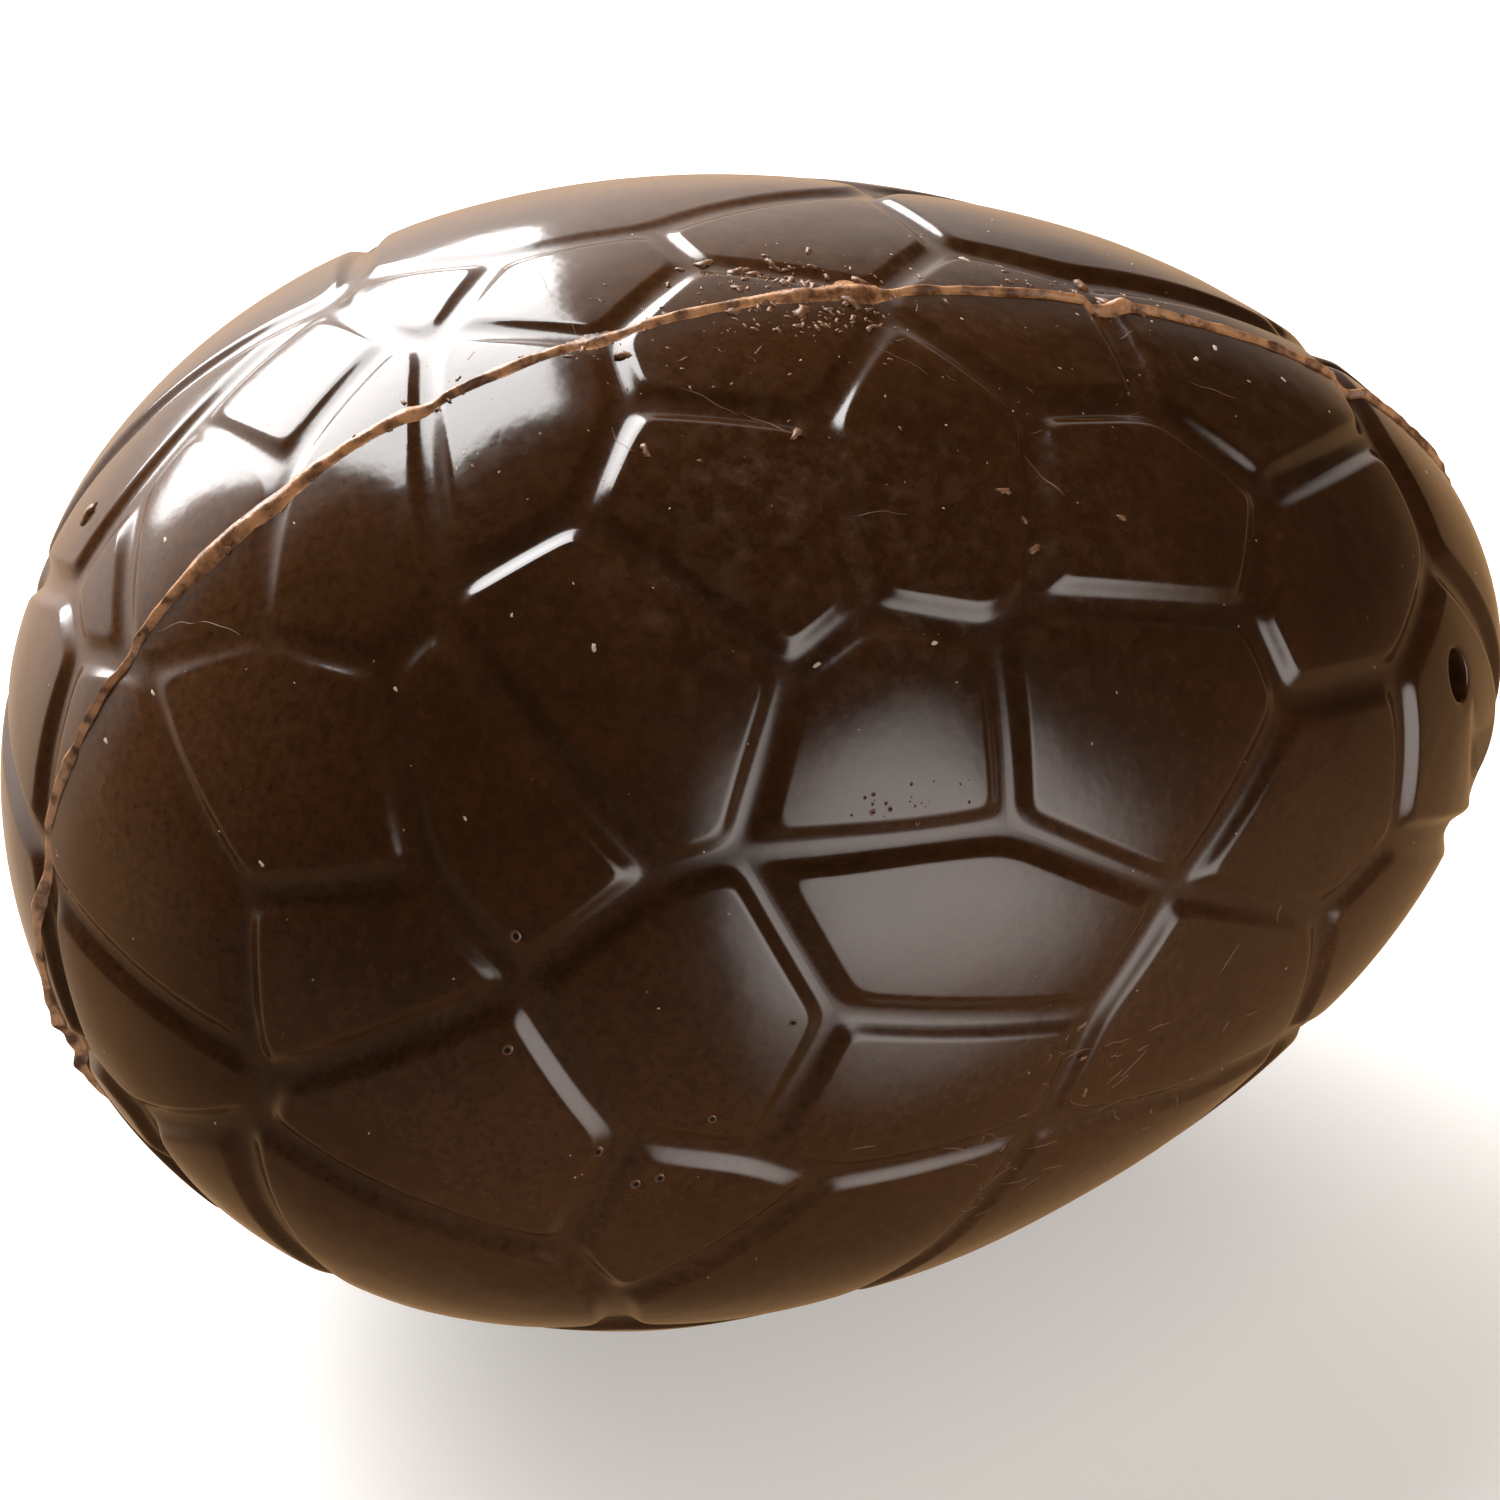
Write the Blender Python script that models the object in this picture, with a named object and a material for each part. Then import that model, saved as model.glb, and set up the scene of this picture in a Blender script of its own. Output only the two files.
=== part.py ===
"""Moulded chocolate egg with a crackle pattern of raised plates.

The egg is one solid. It lies on its side on a small flat spot, narrow end towards +X.
Its pattern is made the way a gem is cut: each plate starts as a flat facet that touches
the egg, and neighbouring facets meet along the middle of a groove. The facets are then
inset for the groove's floor and wall, and every point is pushed onto the egg.
Lengths are in metres unless a name says millimetres or degrees.
"""
import math

import bmesh
import bpy
import numpy as np
from mathutils import Matrix, Vector

MM = 0.001

# The egg
EGG_LENGTH = 80 * MM
GIRTH_RADIUS = 28.4 * MM        # radius half way along, before the two taper terms
TAPER = 0.170                   # slims the narrow end and fattens the blunt end
TAPER_ROUNDING = 0.013
SEAM_LEAN_DEG = 3.4             # the seam's plane leans this far from upright, towards -Y

# The grooves between the plates
GROOVE_DEPTH = 0.60 * MM
FLOOR_HALF_WIDTH = 0.45 * MM
GROOVE_HALF_WIDTH = 1.40 * MM
RIM_DROP = 0.12 * MM            # a plate's rim lies this far below its crown
CROWN_REACH = 3.4 * MM          # from the groove's middle to where the crown is level
OUTLINE_STEP = 4.5 * MM         # longest straight stretch of a plate's outline
SHORTEST_GROOVE = 1.6 * MM
SMALL_PLATE_AREA = 25 * MM * MM  # within its walls, a plate this small has no crown ring
LONGEST_INSET = 0.8             # share of the way to a plate's middle that a ring may go

# The fin along the seam where the two halves of the mould meet
FIN_HALF_WIDTH = 0.40 * MM
FIN_HEIGHT = 0.45 * MM

# The vent hole beside the narrow end, and the flat spot under the egg
VENT_STATION_DEG = 40
VENT_TURN_DEG = 57
VENT_LENGTH = 3.0 * MM
VENT_WIDTH = 2.3 * MM
VENT_DEPTH = 5.0 * MM
REST_SPOT_DEPTH = 0.70 * MM

# One facet a plate: its touching point's station in degrees (0 at the narrow tip, 180 at
# the blunt tip), its turn in degrees round the long axis from the upper seam (90 is the
# middle of the front half), and how many millimetres it is lifted off the egg.
# The same plates come again half a turn further round.
PLATES = (
    # over the top, across the upper seam
    (64, 0, 0.8), (63, 19, -1.2), (75, 18, -1.0), (93, 1, 1.1), (102, 15, -0.6),
    (106, -32, 1.5), (112, 3, 0.7), (119, 14, -0.4), (125, -11, 1.8), (139, 7, -0.7),
    (143, -4, -0.6), (145, -44, -0.3), (146, -2, -0.9), (151, -9, -0.4),
    # upper front
    (26, 33, -1.8), (36, 54, -1.4), (55, 35, -1.4), (54, 56, -0.5), (75, 28, -1.5),
    (78, 42, -1.0), (89, 25, -1.3), (96, 41, -0.5), (106, 24, -1.1), (116, 31, -0.8),
    (130, 38, 0.1), (152, 34, -1.0), (153, 59, -0.3), (167, 47, -1.6),
    # lower front
    (43, 78, 0.7), (71, 83, 1.5), (98, 67, 0.5), (101, 77, 0.9), (111, 73, 0.9),
    (86, 115, 1.3), (101, 112, 1.0), (117, 102, 1.5), (138, 99, 0.3), (138, 125, -0.5),
    (170, 102, -1.1),
    # round the back and underneath
    (77, 126, 2.4), (19, 193, -0.8), (33, 146, 2.2),
)


def clear_scene():
    for item in list(bpy.data.objects):
        bpy.data.objects.remove(item, do_unlink=True)


def egg_radius(x):
    """Distance of the egg's skin from its long axis, at x along that axis."""
    part = np.clip(x / (EGG_LENGTH / 2), -1.0, 1.0)
    taper = 1 - TAPER * part + TAPER_ROUNDING * part ** 2
    return GIRTH_RADIUS * np.sqrt(1 - part ** 2) * taper


def egg_point(station, turn):
    """Point of the skin. In the egg's own axes x runs to the narrow tip, y to the upper
    seam and z to the middle of the front half."""
    x = EGG_LENGTH / 2 * math.cos(station)
    radius = float(egg_radius(x))
    return Vector((x, radius * math.cos(turn), radius * math.sin(turn)))


def egg_normal(station, turn, nudge=0.001):
    along = egg_point(station + nudge, turn) - egg_point(station - nudge, turn)
    around = Vector((0.0, -math.sin(turn), math.cos(turn)))
    normal = along.cross(around).normalized()
    return normal if normal.dot(egg_point(station, turn)) > 0 else -normal


def plate_planes():
    """A point and a normal for the facet of each plate, all round the egg."""
    planes = []
    for half_turn in (0, 180):
        for station_deg, turn_deg, lift_mm in PLATES:
            station = math.radians(station_deg)
            turn = math.radians(turn_deg + half_turn)
            normal = egg_normal(station, turn)
            planes.append((egg_point(station, turn) + normal * lift_mm * MM, normal))
    return planes


def cut_gem(planes):
    """A block cut with every facet's plane, so that each plate is one flat face."""
    gem = bmesh.new()
    bmesh.ops.create_cube(gem, size=1.5 * EGG_LENGTH)
    for point, normal in planes:
        cut = bmesh.ops.bisect_plane(
            gem, geom=gem.verts[:] + gem.edges[:] + gem.faces[:],
            plane_co=point, plane_no=normal, clear_outer=True)
        rim = [item for item in cut["geom_cut"] if isinstance(item, bmesh.types.BMEdge)]
        if rim:
            bmesh.ops.contextual_create(gem, geom=rim)
    bmesh.ops.remove_doubles(gem, verts=gem.verts, dist=SHORTEST_GROOVE)
    return gem


def divide_outlines(gem):
    """Splits the grooves between knots, so that they can follow the round egg."""
    for edge in gem.edges[:]:
        pieces = math.ceil(edge.calc_length() / OUTLINE_STEP)
        start = edge.verts[0]
        for left in range(pieces, 1, -1):
            start = bmesh.utils.edge_split(edge, start, 1 / left)[1]


def inset_plates(gem, planes):
    """Rings inside each plate: the groove's floor, its wall, and the crown's edge."""
    plates = gem.faces[:]
    for width in (FLOOR_HALF_WIDTH, GROOVE_HALF_WIDTH, CROWN_REACH):
        if width == CROWN_REACH:
            plates = [plate for plate in plates if plate.calc_area() > SMALL_PLATE_AREA]
        bmesh.ops.inset_individual(gem, faces=plates, thickness=0.01 * MM)
        draw_in(plates, planes, width)
    bmesh.ops.poke(gem, faces=plates)


def draw_in(plates, planes, width):
    """Moves the points round each plate straight towards its middle until they lie this
    far from the nearest groove, or most of the way if the plate is too small."""
    corners = [vertex for plate in plates for vertex in plate.verts]
    middles = np.array([plate.calc_center_median_weighted()[:]
                        for plate in plates for vertex in plate.verts])
    start = np.array([vertex.co[:] for vertex in corners])
    low = np.zeros((len(corners), 1))
    high = np.full((len(corners), 1), LONGEST_INSET)
    for _ in range(20):
        share = (low + high) / 2
        reached = groove_distances(start + (middles - start) * share, planes) > width
        low = np.where(reached[:, None], low, share)
        high = np.where(reached[:, None], share, high)
    for vertex, place in zip(corners, start + (middles - start) * high):
        vertex.co = place


def cut_seam(gem):
    """Three loops along the seam: the fin's foot, its top and its other foot."""
    for z in (-FIN_HALF_WIDTH, 0.0, FIN_HALF_WIDTH):
        bmesh.ops.bisect_plane(gem, geom=gem.verts[:] + gem.edges[:] + gem.faces[:],
                               plane_co=(0, 0, z), plane_no=(0, 0, 1), dist=0.1 * MM)


def relief(groove_distance):
    """Height of the skin over the smooth egg, by distance from a groove's middle."""
    return np.interp(groove_distance,
                     (0.0, FLOOR_HALF_WIDTH, GROOVE_HALF_WIDTH, CROWN_REACH),
                     (-GROOVE_DEPTH, -GROOVE_DEPTH, -RIM_DROP, 0.0))


def groove_distances(points, planes):
    """Distance of each point from the nearest groove. A plate's value at a point is how
    far the point reaches towards its plane. The two highest values meet in a groove."""
    facets = np.array([normal / point.dot(normal) for point, normal in planes])
    values = points @ facets.T
    order = np.argsort(values, axis=1)
    best = order[:, -1]
    second = order[:, -2]
    rows = np.arange(len(points))
    gap = values[rows, best] - values[rows, second]
    return gap / np.linalg.norm(facets[best] - facets[second], axis=1)


def onto_egg(points):
    """Slides each point along its ray from the middle until it meets the smooth egg."""
    out = np.linalg.norm(points[:, 1:], axis=1)
    low = np.zeros(len(points))
    high = EGG_LENGTH / 2 / np.maximum(np.abs(points[:, 0]), 1e-9)
    high = np.minimum(high, EGG_LENGTH / np.maximum(out, 1e-9))
    for _ in range(40):
        middle = (low + high) / 2
        inside = middle * out < egg_radius(middle * points[:, 0])
        low = np.where(inside, middle, low)
        high = np.where(inside, high, middle)
    return points * low[:, None]


def skin_normals(points, step=0.01 * MM):
    """Outward normals of the smooth egg at points of its skin."""
    x = np.clip(points[:, 0], -0.499 * EGG_LENGTH, 0.499 * EGG_LENGTH)
    slope = (egg_radius(x + step) - egg_radius(x - step)) / (2 * step)
    out = np.maximum(np.linalg.norm(points[:, 1:], axis=1), 1e-9)
    normals = np.column_stack((-slope, points[:, 1] / out, points[:, 2] / out))
    return normals / np.linalg.norm(normals, axis=1)[:, None]


def push_onto_egg(gem, planes):
    flat = np.array([vertex.co[:] for vertex in gem.verts])
    skin = onto_egg(flat)
    height = relief(groove_distances(skin, planes))
    fin = np.clip(1 - np.abs(skin[:, 2]) / FIN_HALF_WIDTH, 0, 1)
    height += (FIN_HEIGHT - height) * fin
    placed = skin + skin_normals(skin) * height[:, None]
    for vertex, place in zip(gem.verts, placed):
        vertex.co = place


def rest_pitch():
    """How far the narrow end dips when the egg lies on a table, and the distance from
    its middle to the table. Its skin touches where the normal runs through its centroid."""
    x = np.linspace(-0.499, 0.499, 4001) * EGG_LENGTH
    radius = egg_radius(x)
    centroid = np.sum(x * radius ** 2) / np.sum(radius ** 2)
    slope = np.gradient(radius, x)
    touch = np.argmin(np.abs(x + radius * slope - centroid))
    pitch = -math.atan(slope[touch])
    reach = radius[touch] * math.cos(pitch) + x[touch] * math.sin(pitch)
    return pitch, reach


def lay_down(mesh):
    """Turns the egg from its own axes to how it lies, with the middle of its box over
    the origin, and returns that matrix."""
    pitch, reach = rest_pitch()
    upright = Matrix(((1, 0, 0), (0, 0, -1), (0, 1, 0))).to_4x4()
    lean = Matrix.Rotation(math.radians(SEAM_LEAN_DEG), 4, "X")
    dip = Matrix.Rotation(pitch, 4, "Y")
    lift = Matrix.Translation((0, 0, reach - REST_SPOT_DEPTH))
    laid = lift @ dip @ lean @ upright
    mesh.transform(laid)
    points = np.array([vertex.co[:] for vertex in mesh.vertices])
    middle = (points.min(axis=0) + points.max(axis=0)) / 2
    centre = Matrix.Translation((-middle[0], -middle[1], 0))
    mesh.transform(centre)
    return centre @ laid


def chocolate():
    material = bpy.data.materials.new("dark_chocolate")
    material.use_nodes = True
    shader = material.node_tree.nodes["Principled BSDF"]
    shader.inputs["Base Color"].default_value = (0.040, 0.018, 0.011, 1)
    shader.inputs["Roughness"].default_value = 0.3
    shader.inputs["Metallic"].default_value = 0.0
    return material


def new_collection(name):
    collection = bpy.data.collections.new(name)
    bpy.context.scene.collection.children.link(collection)
    return collection


def vent_cutter(collection, laid):
    """An oval pin that stands in the skin where the mould's vent left a hole."""
    station = math.radians(VENT_STATION_DEG)
    turn = math.radians(VENT_TURN_DEG)
    normal = egg_normal(station, turn)
    bpy.ops.mesh.primitive_cylinder_add(vertices=24, radius=0.5, depth=2 * VENT_DEPTH)
    pin = bpy.context.active_object
    pin.name = "vent_cutter"
    pin.data.transform(Matrix.Diagonal((VENT_LENGTH, VENT_WIDTH, 1, 1)))
    stand = normal.to_track_quat("Z", "Y").to_matrix().to_4x4()
    pin.data.transform(laid @ Matrix.Translation(egg_point(station, turn)) @ stand)
    return as_cutter(pin, collection)


def table_cutter(collection):
    """A block whose top is the plane that the egg rests on."""
    bpy.ops.mesh.primitive_cube_add(size=1)
    block = bpy.context.active_object
    block.name = "rest_spot_cutter"
    block.data.transform(Matrix.Translation((0, 0, -0.5)))
    block.data.transform(Matrix.Scale(EGG_LENGTH, 4))
    return as_cutter(block, collection)


def as_cutter(item, collection):
    for home in list(item.users_collection):
        home.objects.unlink(item)
    collection.objects.link(item)
    item.display_type = "WIRE"
    item.hide_render = True
    return item


def subtract(target, cutter):
    cut = target.modifiers.new(cutter.name, "BOOLEAN")
    cut.operation = "DIFFERENCE"
    cut.solver = "EXACT"
    cut.object = cutter


def build_egg():
    planes = plate_planes()
    gem = cut_gem(planes)
    divide_outlines(gem)
    inset_plates(gem, planes)
    cut_seam(gem)
    push_onto_egg(gem, planes)
    bmesh.ops.triangulate(gem, faces=gem.faces)
    bmesh.ops.recalc_face_normals(gem, faces=gem.faces)
    mesh = bpy.data.meshes.new("egg")
    gem.to_mesh(mesh)
    gem.free()
    laid = lay_down(mesh)
    egg = bpy.data.objects.new("egg", mesh)
    new_collection("chocolate_egg").objects.link(egg)
    mesh.materials.append(chocolate())
    cutters = new_collection("cutters")
    subtract(egg, vent_cutter(cutters, laid))
    subtract(egg, table_cutter(cutters))
    mesh.shade_smooth()
    mesh.set_sharp_from_angle(angle=math.radians(30))
    return egg


clear_scene()
build_egg()
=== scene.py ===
# %% [markdown]
# # A crackle-moulded chocolate egg
# The egg is a dark chocolate shell, cast in two halves that were pressed together while
# the rims were soft. What the eye reads is the relief: plates of skin with a groove between
# them, a ragged fin where the halves meet, a vent hole, and a gloss that mirrors the window.
# The frame is the solid model of the same egg. It gives the size and the place on the table.

import math

import bmesh
import bpy
import numpy as np
from mathutils import Matrix, Vector


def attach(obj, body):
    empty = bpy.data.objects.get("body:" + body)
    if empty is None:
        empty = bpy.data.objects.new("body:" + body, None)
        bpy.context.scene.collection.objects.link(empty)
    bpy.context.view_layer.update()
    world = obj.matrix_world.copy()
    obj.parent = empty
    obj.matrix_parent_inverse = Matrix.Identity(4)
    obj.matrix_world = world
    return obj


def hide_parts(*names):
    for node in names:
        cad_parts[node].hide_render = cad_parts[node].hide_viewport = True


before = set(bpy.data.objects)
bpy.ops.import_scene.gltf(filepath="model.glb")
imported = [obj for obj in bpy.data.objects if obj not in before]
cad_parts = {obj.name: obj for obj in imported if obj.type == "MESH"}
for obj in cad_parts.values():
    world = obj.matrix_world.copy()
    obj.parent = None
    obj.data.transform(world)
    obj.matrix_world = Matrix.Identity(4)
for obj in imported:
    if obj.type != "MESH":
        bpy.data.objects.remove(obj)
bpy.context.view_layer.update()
MM = 0.001

# %% [markdown]
# ## The smooth egg
# An egg is a long ellipse turned about its axis, with its radius scaled down towards one
# end. Written as a formula, it can be asked for its radius and its normal anywhere, so the
# relief can be laid on it exactly. x runs to the narrow tip, y to the upper seam and z to
# the middle of the front half.

# %% The shape of the egg and how it lies
EGG_LENGTH = 80.0               # these lengths are in millimetres
GIRTH_RADIUS = 28.4
TAPER = 0.170
TAPER_ROUNDING = 0.013
SEAM_LEAN_DEG = 3.4
DIP_DEG = 8.193                 # the narrow end's dip on a table
EGG_MIDDLE = np.array((0.072, 0.0, 27.426))


def egg_radius(x):
    """Radius of the smooth egg at x: an ellipse times a taper that falls towards the
    narrow end."""
    part = np.clip(x / (EGG_LENGTH / 2), -1.0, 1.0)
    taper = 1 - TAPER * part + TAPER_ROUNDING * part ** 2
    return GIRTH_RADIUS * np.sqrt(1 - part ** 2) * taper


def skin_point(station, turn):
    """Point of the smooth skin: x is the cosine of the station, and the turn goes round
    the long axis. Both are angles in degrees."""
    x = EGG_LENGTH / 2 * np.cos(np.radians(station))
    radius = egg_radius(x)
    return np.stack(np.broadcast_arrays(
        x, radius * np.cos(np.radians(turn)), radius * np.sin(np.radians(turn))), axis=-1)


def skin_normal(points, step=0.01):
    """Outward normals of the smooth skin: one along x from the slope of the radius, the
    rest straight out from the axis."""
    x = np.clip(points[..., 0], -0.4995 * EGG_LENGTH, 0.4995 * EGG_LENGTH)
    slope = (egg_radius(x + step) - egg_radius(x - step)) / (2 * step)
    out = np.maximum(np.linalg.norm(points[..., 1:], axis=-1), 1e-9)
    normal = np.stack((-slope, points[..., 1] / out, points[..., 2] / out), axis=-1)
    return normal / np.linalg.norm(normal, axis=-1, keepdims=True)


def onto_skin(points):
    """Slides points along their rays from the middle to the smooth skin, by halving."""
    out = np.linalg.norm(points[..., 1:], axis=-1)
    low = np.zeros(points.shape[:-1])
    high = np.minimum(EGG_LENGTH / 2 / np.maximum(np.abs(points[..., 0]), 1e-9),
                      EGG_LENGTH / np.maximum(out, 1e-9))
    for _ in range(36):
        middle = (low + high) / 2
        inside = middle * out < egg_radius(middle * points[..., 0])
        low = np.where(inside, middle, low)
        high = np.where(inside, high, middle)
    return points * low[..., None]


def laid_down(points):
    """From the egg's own axes to the table: stand the seam up, lean it, dip the narrow
    end, and lift the middle. Nothing goes below the table."""
    upright = Matrix(((1, 0, 0), (0, 0, -1), (0, 1, 0)))
    lean = Matrix.Rotation(math.radians(SEAM_LEAN_DEG), 3, "X")
    dip = Matrix.Rotation(math.radians(DIP_DEG), 3, "Y")
    placed = points @ np.array(dip @ lean @ upright).T + EGG_MIDDLE
    placed[..., 2] = np.maximum(placed[..., 2], 0.0)
    return placed * MM


print("top of the smooth egg, mm:", round(laid_down(skin_point(90, 0))[2] / MM, 1))

# %% [markdown]
# ## The crackle
# The pattern looks like dried mud or a tortoise's back: straight grooves that meet in
# threes. Drawing every groove by hand would take hundreds of points. A cut gem gives the
# same net from one facet a plate: each facet touches the egg at one spot, and neighbours
# meet in a straight line by themselves. Lifting a facet makes its plate smaller. The mould
# repeats the pattern half a turn further round.

# %% One facet a plate
PLATES = (
    # station and turn in degrees, lift in millimetres: over the top, across the seam
    (64, 0, 0.8), (63, 19, -1.2), (75, 18, -1.0), (93, 1, 1.1), (102, 15, -0.6),
    (106, -32, 1.5), (112, 3, 0.7), (119, 14, -0.4), (125, -11, 1.8), (139, 7, -0.7),
    (143, -4, -0.6), (145, -44, -0.3), (146, -2, -0.9), (151, -9, -0.4),
    # upper front
    (26, 33, -1.8), (36, 54, -1.4), (55, 35, -1.4), (54, 56, -0.5), (75, 28, -1.5),
    (78, 42, -1.0), (89, 25, -1.3), (96, 41, -0.5), (106, 24, -1.1), (116, 31, -0.8),
    (130, 38, 0.1), (152, 34, -1.0), (153, 59, -0.3), (167, 47, -1.6),
    # lower front
    (43, 78, 0.7), (71, 83, 1.5), (98, 67, 0.5), (101, 77, 0.9), (111, 73, 0.9),
    (86, 115, 1.3), (101, 112, 1.0), (117, 102, 1.5), (138, 99, 0.3), (138, 125, -0.5),
    (170, 102, -1.1),
    # round the back and underneath
    (77, 126, 2.4), (19, 193, -0.8), (33, 146, 2.2),
)


def facet_vectors():
    """One vector a plate, as long as one over the distance of its plane: a point lies on
    the plane where the two multiply to one, and the plate with the largest product owns
    the point."""
    station, turn, lift = np.array(PLATES + tuple((s, t + 180, l) for s, t, l in PLATES)).T
    touch = skin_point(station, turn)
    normal = skin_normal(touch)
    reach = np.sum(normal * touch, axis=-1) + lift
    return touch, normal / reach[:, None]


TOUCH, FACETS = facet_vectors()
print("plates:", len(FACETS))

# %% [markdown]
# ## The groove
# Every groove has the same section: a flat floor, a slanted wall and a rounded rim, from
# which the plate swells a little to its crown. A formula of the distance from the groove's
# middle makes this the same everywhere and rounds the corners where grooves meet. Real
# chocolate shrinks unevenly as it sets, so slow waves of a few hundredths of a millimetre
# go over the whole skin: they are what makes reflections wobble.

# %% The relief over the smooth egg
GROOVE_DEPTH = 0.54
FLOOR_HALF_WIDTH = 0.38
GROOVE_HALF_WIDTH = 1.35
FLOOR_HOLLOW = 0.07             # a floor's middle lies this much deeper than its edges
RIM_DROP = 0.10
CROWN_REACH = 3.6
WORN = (
    # station, turn, radius in mm, share of the grooves' size that is gone
    (133, -8, 15, 0.40), (112, -14, 11, 0.35), (93, -14, 12, 0.40), (150, 13, 9, 0.60),
    (92, 108, 14, 0.40), (70, 100, 10, 0.30), (112, 28, 7, 0.30), (91, 9, 6, 0.50),
)
CORNER_SOFTNESS = 0.26          # rounds a plate's corners over about this many millimetres
CROWN_SOFTNESS = 0.9            # the same for its crown, which has no ridges at all
APART = np.linalg.norm(FACETS[:, None] - FACETS[None], axis=-1) + 1e-9


def groove_gaps(points):
    """Distance from the groove towards each other plate: how much less that plate reaches,
    over the difference of the two facet vectors."""
    values = points @ FACETS.T
    best = np.argmax(values, axis=-1)
    top = np.take_along_axis(values, best[..., None], axis=-1)
    gaps = (top - values) / APART[best]
    np.put_along_axis(gaps, best[..., None], 1e3, axis=-1)
    return gaps


def soft_least(gaps, softness):
    """The least gap, blended with the next ones so that it has no ridges."""
    least = gaps.min(axis=-1, keepdims=True)
    soft = np.exp((least - gaps) / softness).sum(axis=-1)
    return least[..., 0] - softness * np.log(soft)


def groove_distance(points):
    """Distance from the nearest groove's middle, with round corners."""
    return soft_least(groove_gaps(points), CORNER_SOFTNESS)


def smooth(low, high, value):
    """Zero below low and one above high, with an S between them."""
    share = np.clip((value - low) / (high - low), 0, 1)
    return share * share * (3 - 2 * share)


def waves(points, length, seed):
    """Slow waves over the egg: the sum of six sines that run in random directions."""
    random = np.random.default_rng(seed)
    total = np.zeros(points.shape[:-1])
    for _ in range(6):
        run = random.normal(size=3)
        run *= 2 * math.pi / length / np.linalg.norm(run)
        total += np.sin(points @ run + random.uniform(0, 2 * math.pi))
    return total / 6


def kept(points):
    """Share of the grooves' size that is left: less in a few round regions, where the
    mould is worn."""
    total = np.ones(points.shape[:-1])
    for station, turn, radius, share in WORN:
        apart = np.linalg.norm(points - skin_point(station, turn), axis=-1)
        total *= 1 - share * np.exp(-(apart / radius) ** 2)
    return total


def relief(points):
    """Height of the skin over the smooth egg: the groove's floor, then a wall that rises
    as an S, then the swell of the plate. The floor's dip and the waves come on top."""
    gaps = groove_gaps(points)
    share = kept(points)
    distance = soft_least(gaps, CORNER_SOFTNESS) / (0.45 + 0.55 * share)
    wall = smooth(FLOOR_HALF_WIDTH, GROOVE_HALF_WIDTH, distance + 0.08 * waves(points, 9, 1))
    inside = soft_least(gaps, CROWN_SOFTNESS)
    swell = np.clip((inside - FLOOR_HALF_WIDTH) / (CROWN_REACH - FLOOR_HALF_WIDTH), 0, 1)
    height = (GROOVE_DEPTH * share - RIM_DROP) * (wall - 1) - RIM_DROP
    height += RIM_DROP * (1 - (1 - swell) ** 2)
    height -= FLOOR_HOLLOW * share * (1 - np.clip(distance / 0.55, 0, 1) ** 2)
    return height + 0.07 * waves(points, 13, 2) + 0.015 * waves(points, 4, 3) - 0.04


def raised(skin, extra=0.0):
    """Skin points moved out along their normals by the relief and some more."""
    return skin + skin_normal(skin) * (relief(skin) + extra)[..., None]


sample = skin_point(np.linspace(60, 120, 200), 60)
print("relief along the front, mm:", relief(sample).min().round(2), relief(sample).max().round(2))

# %% [markdown]
# ## The plates as patches
# A plain grid over the whole egg would cut across the grooves and make their edges
# jagged. Here each plate is a patch of its own, with a grid that fits it: one parameter
# goes round the plate and the other goes from its middle to its outline. The rings lie at
# set distances from the groove, close together on the wall and wide apart on the crown.
# Neighbours share their points in the middle of the floor, so they can be joined there.

# %% The rings and the rays of a patch
RIM_RINGS = np.array((0.15, 0.32, 0.44, 0.54, 0.64, 0.74, 0.84, 0.94, 1.04, 1.14, 1.24,
                      1.34, 1.46, 1.62))
CROWN_RINGS = np.array((0.95, 0.89, 0.82, 0.73, 0.62, 0.50, 0.37, 0.24, 0.12, 0.0))
RAY_STEP = 0.42                 # spacing of the rays along an outline
VENT = skin_point(40.2, 57.5)


def tangent_axes(normal):
    """Two unit vectors at right angles to a normal."""
    first = np.cross(normal, (0.3, 0.5, 0.81))
    first /= np.linalg.norm(first)
    return first, np.cross(normal, first)


def outline(plate, centre):
    """Points round a plate's facet. Rays from the centre stop at the first groove that
    they meet, which gives the sides in order. Two sides and the facet meet in a corner,
    and each side is then divided evenly, so that neighbours get the same points."""
    across, along = tangent_axes(FACETS[plate])
    angle = np.linspace(0, 2 * math.pi, 1440, endpoint=False)
    rays = np.outer(np.cos(angle), across) + np.outer(np.sin(angle), along)
    others = np.delete(FACETS, plate, axis=0)
    room = (FACETS[plate] - others) @ centre
    closing = rays @ (others - FACETS[plate]).T
    lengths = np.where(closing > 1e-9, room / np.maximum(closing, 1e-9), 1e9)
    side = np.argmin(lengths, axis=1)
    corners = []
    for ray in np.flatnonzero(side != np.roll(side, 1)):
        walls = FACETS[plate] - others[[side[ray - 1], side[ray]]]
        corners.append(np.linalg.solve(np.vstack((FACETS[plate], walls)), (1, 0, 0)))
    ring = []
    for corner, following in zip(corners, corners[1:] + corners[:1]):
        count = math.ceil(np.linalg.norm(following - corner) / RAY_STEP)
        ring.append(np.linspace(corner, following, count, endpoint=False))
    return np.concatenate(ring)


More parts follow.
